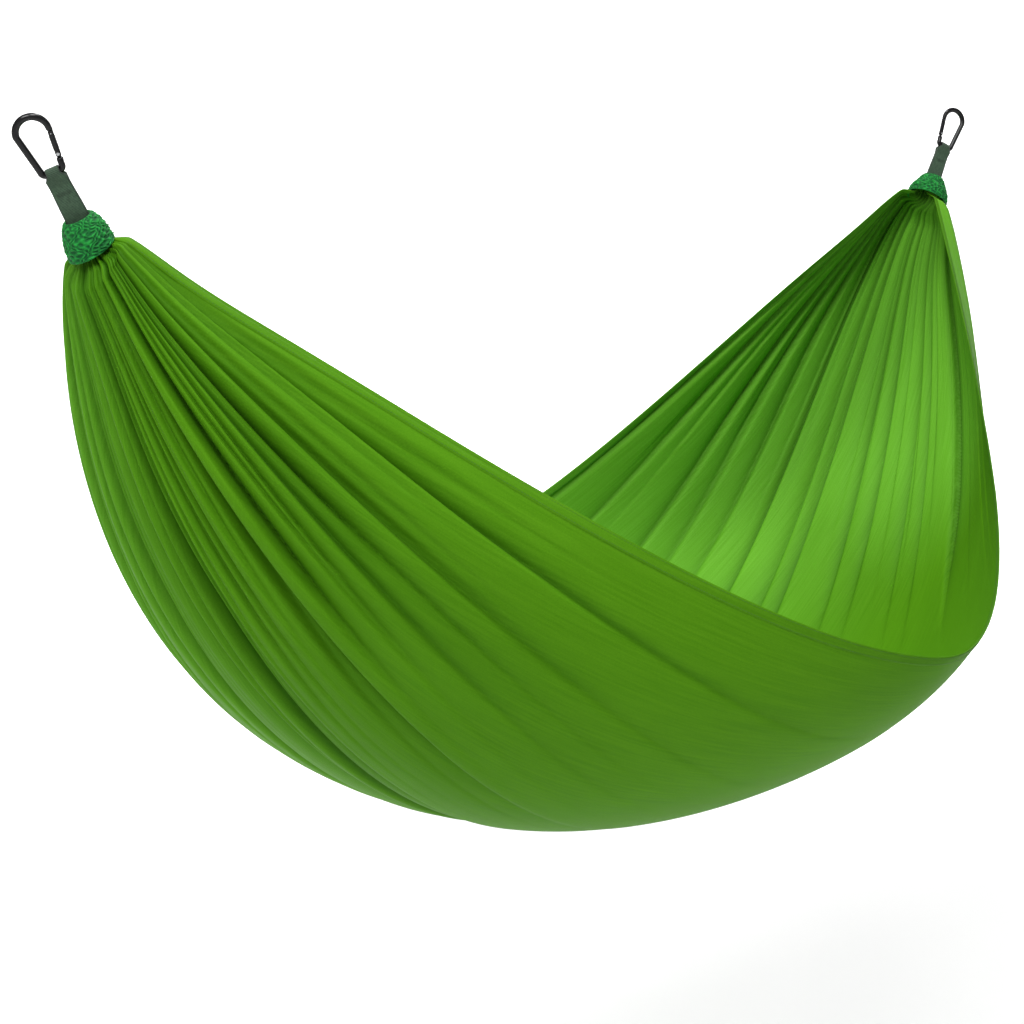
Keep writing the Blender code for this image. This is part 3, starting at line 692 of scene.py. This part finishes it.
def stitch_rows(name, grid, normal, lens, half, mat, columns):
    """Short raised dashes of thread along the band, on both faces."""
    verts = []
    faces = []
    pitch, run, r = STITCH
    for col in columns:
        s = lens[:, col]
        keep = np.concatenate([[True], np.diff(s) > 1e-7])
        s0 = np.arange(max(s[0], 0.02) + 0.02, s[-1] - 0.04, pitch)
        centre = np.stack([np.interp(s0, s[keep], grid[keep, col, k]) for k in range(3)], axis=1)
        ahead = np.stack([np.interp(s0 + run, s[keep], grid[keep, col, k]) for k in range(3)], axis=1)
        nrm = np.stack([np.interp(s0, s[keep], normal[keep, col, k]) for k in range(3)], axis=1)
        lift = np.interp(s0, s[keep], half[keep, col])
        side = np.cross(ahead - centre, nrm)
        side /= np.maximum(np.linalg.norm(side, axis=1, keepdims=True), 1e-9)
        for face in (1, -1):
            n = nrm * face
            for k in range(len(s0)):
                base = len(verts)
                for p in (centre[k], ahead[k]):
                    o = p + n[k] * (lift[k] - 0.00005)
                    verts += [o + side[k] * r, o + n[k] * r * 1.4, o - side[k] * r, o - n[k] * r * 0.8]
                for m in range(4):
                    a, b = base + m, base + (m + 1) % 4
                    faces.append((a, b, b + 4, a + 4))
                faces.append((base + 3, base + 2, base + 1, base))
                faces.append((base + 4, base + 5, base + 6, base + 7))
    return mesh_object(name, verts, faces, mat)


# ---- ruched sleeves ---------------------------------------------------------
# The sleeve's profile as radius and d: rolled top lip, bell, and the turned-in mouth.
SLEEVE = [(0.0150, 0.1240), (0.0168, 0.1226), (0.0190, 0.1238), (0.0216, 0.1272), (0.0248, 0.1330),
          (0.0272, 0.1400), (0.0285, 0.1480), (0.0289, 0.1545), (0.0296, 0.1590), (0.0299, 0.1622),
          (0.0288, 0.1638), (0.0272, 0.1625), (0.0262, 0.1560), (0.0246, 0.1480), (0.0238, 0.1400)]
# Share of the profile's length where its outside ends.
LIP_AT = 0.60
# How much the mouth flares on the left and the right end.
FLARE = {-1: 0.04, 1: 0.22}
# Gathers: waves round the sleeve, waves along it and share of the relief; then the waves that bend them,
# the height of the large and the fine ones, and their seeds.
CURLS = ((24, 7.0, 0.38), (18, -10.0, 0.34), (8, 13.0, 0.28))
CURL_BENDS = ((3, 2.3), (4, -3.1), (6, 4.9), (9, -5.7), (12, 7.1))
CURL_HEIGHT = 0.0026
CURL_FINE = 0.0006
CURL_SEED = {-1: 71, 1: 83}
CURL_FINE_SEED = {-1: 17, 1: 19}


def ruche(A, T, seed):
    """Curling gathers of cloth drawn tight: ridge crests near 1 and the creases between them near 0."""
    rng = np.random.default_rng(seed)
    bend = np.zeros_like(A)
    for m, n in CURL_BENDS:
        amount = rng.uniform(0.5, 1.0) * 5.0 / m
        bend += amount * np.sin(m * A + 2 * math.pi * n * T + rng.uniform(0, 6.3))
    out = np.zeros_like(A)
    for m, n, amount in CURLS:
        out += amount * (1.0 - np.abs(np.sin(m * A / 2 + math.pi * n * T + bend + rng.uniform(0, 6.3))))
    return out


def sleeve(side, tag, mats):
    """The ruched cover over the bunched end: curled gathers, a rolled top lip and a turned-in mouth."""
    na, nd = 420, 170
    r0 = np.array([p[0] for p in SLEEVE])
    d0 = np.array([p[1] for p in SLEEVE])
    run = np.concatenate([[0.0], np.cumsum(np.hypot(np.diff(r0), np.diff(d0)))])
    t = np.linspace(0.0, run[-1], nd)
    k = np.array([1, 2, 3, 2, 1], float)
    r = np.convolve(np.pad(np.interp(t, run, r0), 2, mode="edge"), k / k.sum(), "valid")
    d = np.convolve(np.pad(np.interp(t, run, d0), 2, mode="edge"), k / k.sum(), "valid")
    a = np.linspace(0.0, 2 * math.pi, na, endpoint=False)
    A, T = np.meshgrid(a, t / run[-1], indexing="ij")
    crest = ruche(A, T, CURL_SEED[side])
    fine = ruche(2 * A + 0.4, 1.7 * T, CURL_FINE_SEED[side])
    outside = smooth((LIP_AT + 0.08 - T) / 0.06)
    body = smooth(T / 0.07) * outside
    relief = (CURL_HEIGHT * (crest - 0.62) + CURL_FINE * (fine - 0.6)) * (0.30 + 0.70 * body)
    R = r[None, :] + relief * outside
    es, en, ed = end_axes(side)
    out = outward(side)
    sideways = 0.0022 * smooth((d - 0.126) / 0.030)
    centre = seat(side)[None, :] + np.outer(d, ed) + np.outer(sideways, out)
    flare = 1.0 + FLARE[side] * smooth((d - 0.132) / 0.022)
    R = R * flare[None, :]
    ring = es * np.cos(A)[..., None] + en * np.sin(A)[..., None]
    lean = (ring @ out) * smooth((d[None, :] - 0.13) / 0.03)
    slip = 0.0030 * lean + CURL_FINE * (fine - 0.6) * body
    pts = centre[None] + ring * R[..., None] + ed * slip[..., None]
    # Painted shade in the creases between the gathers, on the outside.
    dark = np.clip((0.58 - crest) / 0.40, 0, 1) ** 0.8 * 0.85 * outside
    faces = grid_faces(na, nd, wrap_i=True)
    obj = mesh_object(tag + "_ruched_sleeve", pts, faces, mats["sleeve"], None, dark)
    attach(obj, "bed")
    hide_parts(tag + "_end_sleeve")
    return obj


# ---- webbing ----------------------------------------------------------------
BAR_R = 0.0039
BAR_D = 0.061 + BAR_R
WEB_T = 0.0022
WRAP_R = BAR_R + 0.0005 + WEB_T / 2
LEG_N = 0.00145
STRAP_PIVOT_D = 0.1285
# Width round the carabiner's bar, then three shoulders: what each adds, d where it starts, length.
WEB_W = 0.0165
WEB_SHOULDERS = ((0.0030, BAR_D, 0.0030), (0.0060, BAR_D + 0.0025, 0.0040), (0.0028, 0.075, 0.045))
# How thick the webbing's rolled edges are, as a share.
WEB_EDGE = 0.62
# Bar-tack: rows, their pitch, d of the first, half their length, stitches in one, zigzag, thread radius.
TACK_ROWS = 5
TACK_PITCH = 0.0011
TACK_D = 0.0884
TACK_S = 0.0092
TACK_STITCHES = 34
TACK_ZIGZAG = 0.0005
TACK_R = 0.00022


def web_path():
    """Centre line of the loop as n, d: round the bar, down one leg, round the end and back up."""
    pts = []
    for k in range(25):
        a = math.pi * k / 24
        pts.append((WRAP_R * math.cos(a), BAR_D - WRAP_R * math.sin(a)))
    legs = []
    for k in range(1, 61):
        d = BAR_D + (STRAP_PIVOT_D - BAR_D) * k / 60
        legs.append((WRAP_R + (LEG_N - WRAP_R) * float(smooth((d - BAR_D) / 0.018)), d))
    left = [(-n, d) for n, d in legs]
    bends = [math.pi * k / 6 for k in range(1, 6)]
    turn = [(-LEG_N * math.cos(a), STRAP_PIVOT_D + LEG_N * math.sin(a)) for a in bends]
    return np.array(pts + left + turn + list(reversed(legs)))


def webbing(side, tag, mats):
    """The webbing loop: a band with rolled edges, drawn in where it rounds the carabiner's bar."""
    path = web_path()
    count = len(path)
    ahead = np.roll(path, -1, axis=0) - np.roll(path, 1, axis=0)
    ahead /= np.linalg.norm(ahead, axis=1, keepdims=True)
    out = np.stack([ahead[:, 1], -ahead[:, 0]], axis=1)
    run = np.concatenate([[0.0], np.cumsum(np.linalg.norm(np.diff(path, axis=0), axis=1))])
    width = np.full(count, WEB_W)
    for more, start, length in WEB_SHOULDERS:
        width += more * smooth((path[:, 1] - start) / length)
    face = [(-1.0 + 2.0 * k / 12, 1.0 if 0 < k < 12 else WEB_EDGE) for k in range(13)]
    loop = face + [(x, -y) for x, y in reversed(face)]
    sx = np.array([p[0] for p in loop])
    sy = np.array([p[1] for p in loop])
    es, en, ed = end_axes(side)
    curl = 1.0 - np.clip((width - WEB_W) / 0.0090, 0, 1)
    verts = []
    uvs = []
    dark = []
    for k in range(count):
        n = path[k, 0] + out[k, 0] * sy * WEB_T / 2
        d = path[k, 1] + out[k, 1] * sy * WEB_T / 2
        s = sx * width[k] / 2
        verts.append(seat(side) + s[:, None] * es + n[:, None] * en + d[:, None] * ed)
        uvs.append(np.stack([sx * 0.0125, np.full_like(sx, run[k])], axis=1))
        # Painted shade: darker at the rolled edges and where the band is drawn in round the bar.
        dark.append(0.75 * smooth((np.abs(sx) - 0.80) / 0.18) + 0.25 * curl[k])
    obj = mesh_object(tag + "_webbing_loop", np.array(verts), grid_faces(count, len(loop), True, True),
                      mats["webbing"], np.array(uvs).reshape(-1, 2), np.clip(np.array(dark), 0, 1))
    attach(obj, tag + "_strap")
    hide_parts(tag + "_webbing")
    return obj


def tack(side, tag, mats):
    """The bar-tack across the webbing: close zigzag stitches, sunk into the face towards the front."""
    en = end_axes(side)[1]
    verts = []
    faces = []
    top = LEG_N + WEB_T / 2 - 0.00012
    for row in range(TACK_ROWS):
        d0 = TACK_D + TACK_PITCH * row
        pts = [(-TACK_S + 2 * TACK_S * k / TACK_STITCHES, d0 + (TACK_ZIGZAG if k % 2 else 0.0))
               for k in range(TACK_STITCHES + 1)]
        for (s0, a), (s1, b) in zip(pts[:-1], pts[1:]):
            p = place(side, s0, side * top, a)
            q = place(side, s1, side * top, b)
            across = np.cross(q - p, en)
            across *= TACK_R / np.linalg.norm(across)
            base = len(verts)
            for o in (p, q):
                verts += [o + across, o + en * side * 0.00030, o - across, o - en * side * 0.0002]
            for m in range(4):
                n = (m + 1) % 4
                faces.append((base + m, base + n, base + n + 4, base + m + 4))
            faces += [(base + 3, base + 2, base + 1, base), (base + 4, base + 5, base + 6, base + 7)]
    obj = mesh_object(tag + "_bar_tack", verts, faces, mats["tack"])
    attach(obj, tag + "_strap")
    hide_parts(tag + "_stitch_block")


# ---- carabiner body ---------------------------------------------------------
EYE_R = 0.019
CORNER_R = 0.0055
CORNER_S = 0.0075
BODY_R = 0.0043
SWEEP_SIDES = 28
# Tang at the gate's rivet and nose at its latch: distance along the gate line, shift out of it (the nose
# is notched for the latch pin), and half thickness across the line and along the rivet.
TANG = ((0.0259, 0.0, 0.0010, 0.0010), (0.0263, 0.0, 0.0021, 0.00145), (0.0270, 0.0, 0.0026, 0.0015),
        (0.0334, 0.0, 0.0026, 0.0015), (0.0339, 0.0, 0.0030, 0.0024), (0.0343, 0.0, 0.0037, 0.0036),
        (0.0350, 0.0, 0.0041, 0.0041))
NOSE = ((0.0006, 0.0, 0.0038, 0.0038), (0.0011, 0.0, 0.0036, 0.0035), (0.0014, 0.0, 0.0030, 0.0028),
        (0.0015, 0.0, 0.0026, 0.0015), (0.0036, 0.0, 0.0026, 0.0015), (0.0038, 0.0019, 0.0007, 0.0013),
        (0.0062, 0.0019, 0.0007, 0.0013), (0.0064, 0.0, 0.0026, 0.0015), (0.0066, 0.0, 0.0026, 0.0015),
        (0.0072, 0.0, 0.0021, 0.0014), (0.0074, 0.0, 0.0010, 0.0009))


def gate_line():
    """The gate's line in s, d: the crown's centre, its start, direction, outward normal and tilt."""
    crown = np.array([0.0, (EYE_R - BAR_R * math.cos(math.pi / 12)) * math.cos(math.radians(8.0))])
    corner = np.array([-CORNER_S, BAR_D - CORNER_R])
    gap = corner - crown
    tilt = math.asin((EYE_R - CORNER_R) / np.linalg.norm(gap)) + math.atan2(gap[0], gap[1])
    out = np.array([-math.cos(tilt), math.sin(tilt)])
    return crown, crown + out * EYE_R, np.array([math.sin(tilt), math.cos(tilt)]), out, tilt


def body_path():
    """Centre line from rivet round base and crown to nose: s, d, outward s, d and two radii."""
    crown, start, along, out, tilt = gate_line()

    def stations(table):
        return [(*(start + along * at + out * shift), *out, across, through)
                for at, shift, across, through in table]

    rows = stations(TANG)
    for k in range(13):
        a = math.pi + tilt - (math.pi / 2 + tilt) * k / 12
        q = np.array([math.cos(a), math.sin(a)])
        rows.append((*(np.array([-CORNER_S, BAR_D - CORNER_R]) + q * CORNER_R), *q, BAR_R, BAR_R))
    for k in range(13):
        a = math.pi / 2 - (math.pi / 2 + tilt) * k / 12
        q = np.array([math.cos(a), math.sin(a)])
        r = BAR_R + (BODY_R - BAR_R) * k / 12
        rows.append((*(np.array([CORNER_S, BAR_D - CORNER_R]) + q * CORNER_R), *q, r, r))
    for k in range(45):
        a = -tilt - (math.pi - 2 * tilt) * k / 44
        q = np.array([math.cos(a), math.sin(a)])
        r = BODY_R - (BODY_R - BAR_R) * max(0.0, (k - 34) / 10)
        rows.append((*(crown + q * EYE_R), *q, r, r))
    return rows + stations(NOSE)


def carabiner_body(side, tag, mats):
    """The bent bar: thick spine and crown, a flat tang at the gate's rivet, a flat notched nose."""
    es, en, ed = end_axes(side)
    a = 2 * math.pi * np.arange(SWEEP_SIDES) / SWEEP_SIDES
    verts = []
    rows = body_path()
    for s, d, qs, qd, across, through in rows:
        q = es * qs + ed * qd
        ring = np.outer(across * np.cos(a), q) + np.outer(through * np.sin(a), en)
        verts.append(place(side, s, 0.0, d) + ring)
    verts = np.array(verts).reshape(-1, 3)
    faces = grid_faces(len(rows), SWEEP_SIDES, False, True)
    obj = mesh_object(tag + "_carabiner_body", verts, faces, mats["black"])
    bm = bmesh.new()
    bm.from_mesh(obj.data)
    bmesh.ops.holes_fill(bm, edges=[e for e in bm.edges if e.is_boundary], sides=0)
    bmesh.ops.recalc_face_normals(bm, faces=bm.faces)
    bm.to_mesh(obj.data)
    bm.free()
    obj.data.shade_smooth()
    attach(obj, tag + "_carabiner")
    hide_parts(tag + "_carabiner_frame")


# ---- stage ------------------------------------------------------------------
def stage():
    """A pale floor that turns up into a wall behind the hammock, seen from the camera's side."""
    mat, _, _, bsdf = new_material("studio_pale")
    bsdf.inputs["Base Color"].default_value = (0.93, 0.93, 0.93, 1)
    bsdf.inputs["Emission Color"].default_value = (1, 1, 1, 1)
    bsdf.inputs["Emission Strength"].default_value = GLOW
    bsdf.inputs["Roughness"].default_value = 0.9
    bm = bmesh.new()
    prof = []
    for k in range(25):
        a = math.pi / 2 * k / 24
        prof.append((SWEEP_AT + SWEEP_R * math.sin(a), SWEEP_R - SWEEP_R * math.cos(a)))
    prof = [(FLOOR_NEAR, 0.0)] + prof + [(SWEEP_AT + SWEEP_R, WALL_TOP)]
    fwd = Vector((math.sin(YAW), math.cos(YAW), 0))
    right = Vector((math.cos(YAW), -math.sin(YAW), 0))
    centre = Vector((MID[0], MID[1], FLOOR_Z))
    near = [bm.verts.new(centre + fwd * p - right * FLOOR_HALF + Vector((0, 0, z))) for p, z in prof]
    far = [bm.verts.new(centre + fwd * p + right * FLOOR_HALF + Vector((0, 0, z))) for p, z in prof]
    for k in range(len(prof) - 1):
        bm.faces.new((near[k], far[k], far[k + 1], near[k + 1]))
    mesh = bpy.data.meshes.new("studio_floor")
    bm.to_mesh(mesh)
    bm.free()
    mesh.shade_smooth()
    mesh.materials.append(mat)
    obj = bpy.data.objects.new("studio_floor", mesh)
    bpy.context.scene.collection.objects.link(obj)


def area_light(name, at, to, size, power):
    """A white disc light at one place, facing another."""
    data = bpy.data.lights.new(name, "AREA")
    data.shape = "DISK"
    data.size = size
    data.energy = power
    obj = bpy.data.objects.new(name, data)
    obj.location = at
    obj.rotation_euler = (Vector(to) - Vector(at)).to_track_quat("-Z", "Y").to_euler()
    bpy.context.scene.collection.objects.link(obj)


def lights():
    """Three soft lights on the hammock, one on the wall, and an even white surround."""
    world = bpy.data.worlds.new("studio")
    bpy.context.scene.world = world
    world.use_nodes = True
    background = world.node_tree.nodes["Background"]
    background.inputs["Color"].default_value = (1, 1, 1, 1)
    background.inputs["Strength"].default_value = WORLD
    target = (MID[0], 0.0, -0.7)
    for name, (at, size, power) in (("key", KEY), ("side", SIDE), ("overhead", OVERHEAD)):
        area_light(name, at, target, size, power)
    back = Vector((math.sin(YAW), math.cos(YAW), 0.0))
    wash_at = back * 3.4 + Vector((0.9, 0, 2.6))
    wash_to = back * 9.0 + Vector((0.9, 0, 1.8))
    area_light("backdrop_wash", wash_at, wash_to, WASH_SIZE, WASH)


def camera():
    """The photo's camera: 42.51 degrees round from the front and 12.38 degrees above."""
    cam = bpy.data.cameras.new("camera")
    cam.sensor_width = SENSOR_MM
    cam.lens = FOCAL_MM
    obj = bpy.data.objects.new("camera", cam)
    level = math.cos(PITCH)
    back = Vector((math.sin(-YAW) * level, -math.cos(-YAW) * level, math.sin(PITCH)))
    obj.location = EYE
    obj.rotation_euler = back.to_track_quat("Z", "Y").to_euler()
    bpy.context.scene.collection.objects.link(obj)
    bpy.context.scene.camera = obj


def main():
    """Build the materials, the pieces in order, and the studio."""
    bpy.context.scene.view_settings.view_transform = "Standard"
    mats = {
        "cloth": cloth_material("nylon_green", (0.098, 0.286, 0.008), (0.054, 0.193, 0.002)),
        "hem": cloth_material("hem_green", (0.094, 0.275, 0.009), (0.050, 0.178, 0.002)),
        "stitch": thread_material("stitch_green", (0.055, 0.190, 0.020)),
        "tack": thread_material("stitch_dark", (0.022, 0.044, 0.026)),
        "sleeve": sleeve_material(),
        "webbing": webbing_material(),
        "black": black_metal(),
        "steel": bright_steel(),
        "cord": thread_material("cord_green", (0.018, 0.110, 0.035)),
    }
    bed, full, v_len, w = cloth_bed(mats)
    front = hem(-1, "front_hem_band", "front_hem", full, v_len, w, mats)
    rear = hem(1, "rear_hem_band", "rear_hem", full, v_len, w, mats)
    for side, tag in ((-1, "left"), (1, "right")):
        sleeve(side, tag, mats)
        webbing(side, tag, mats)
        tack(side, tag, mats)
        carabiner_body(side, tag, mats)
        for node, key in (("carabiner_gate", "black"), ("gate_rivet", "steel"),
                          ("latch_pin", "steel"), ("gate_plunger", "steel"), ("gate_spring", "steel"),
                          ("gather_cord", "cord")):
            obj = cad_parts[tag + "_" + node]
            obj.data.materials.clear()
            obj.data.materials.append(mats[key])
    stage()
    lights()
    camera()


main()
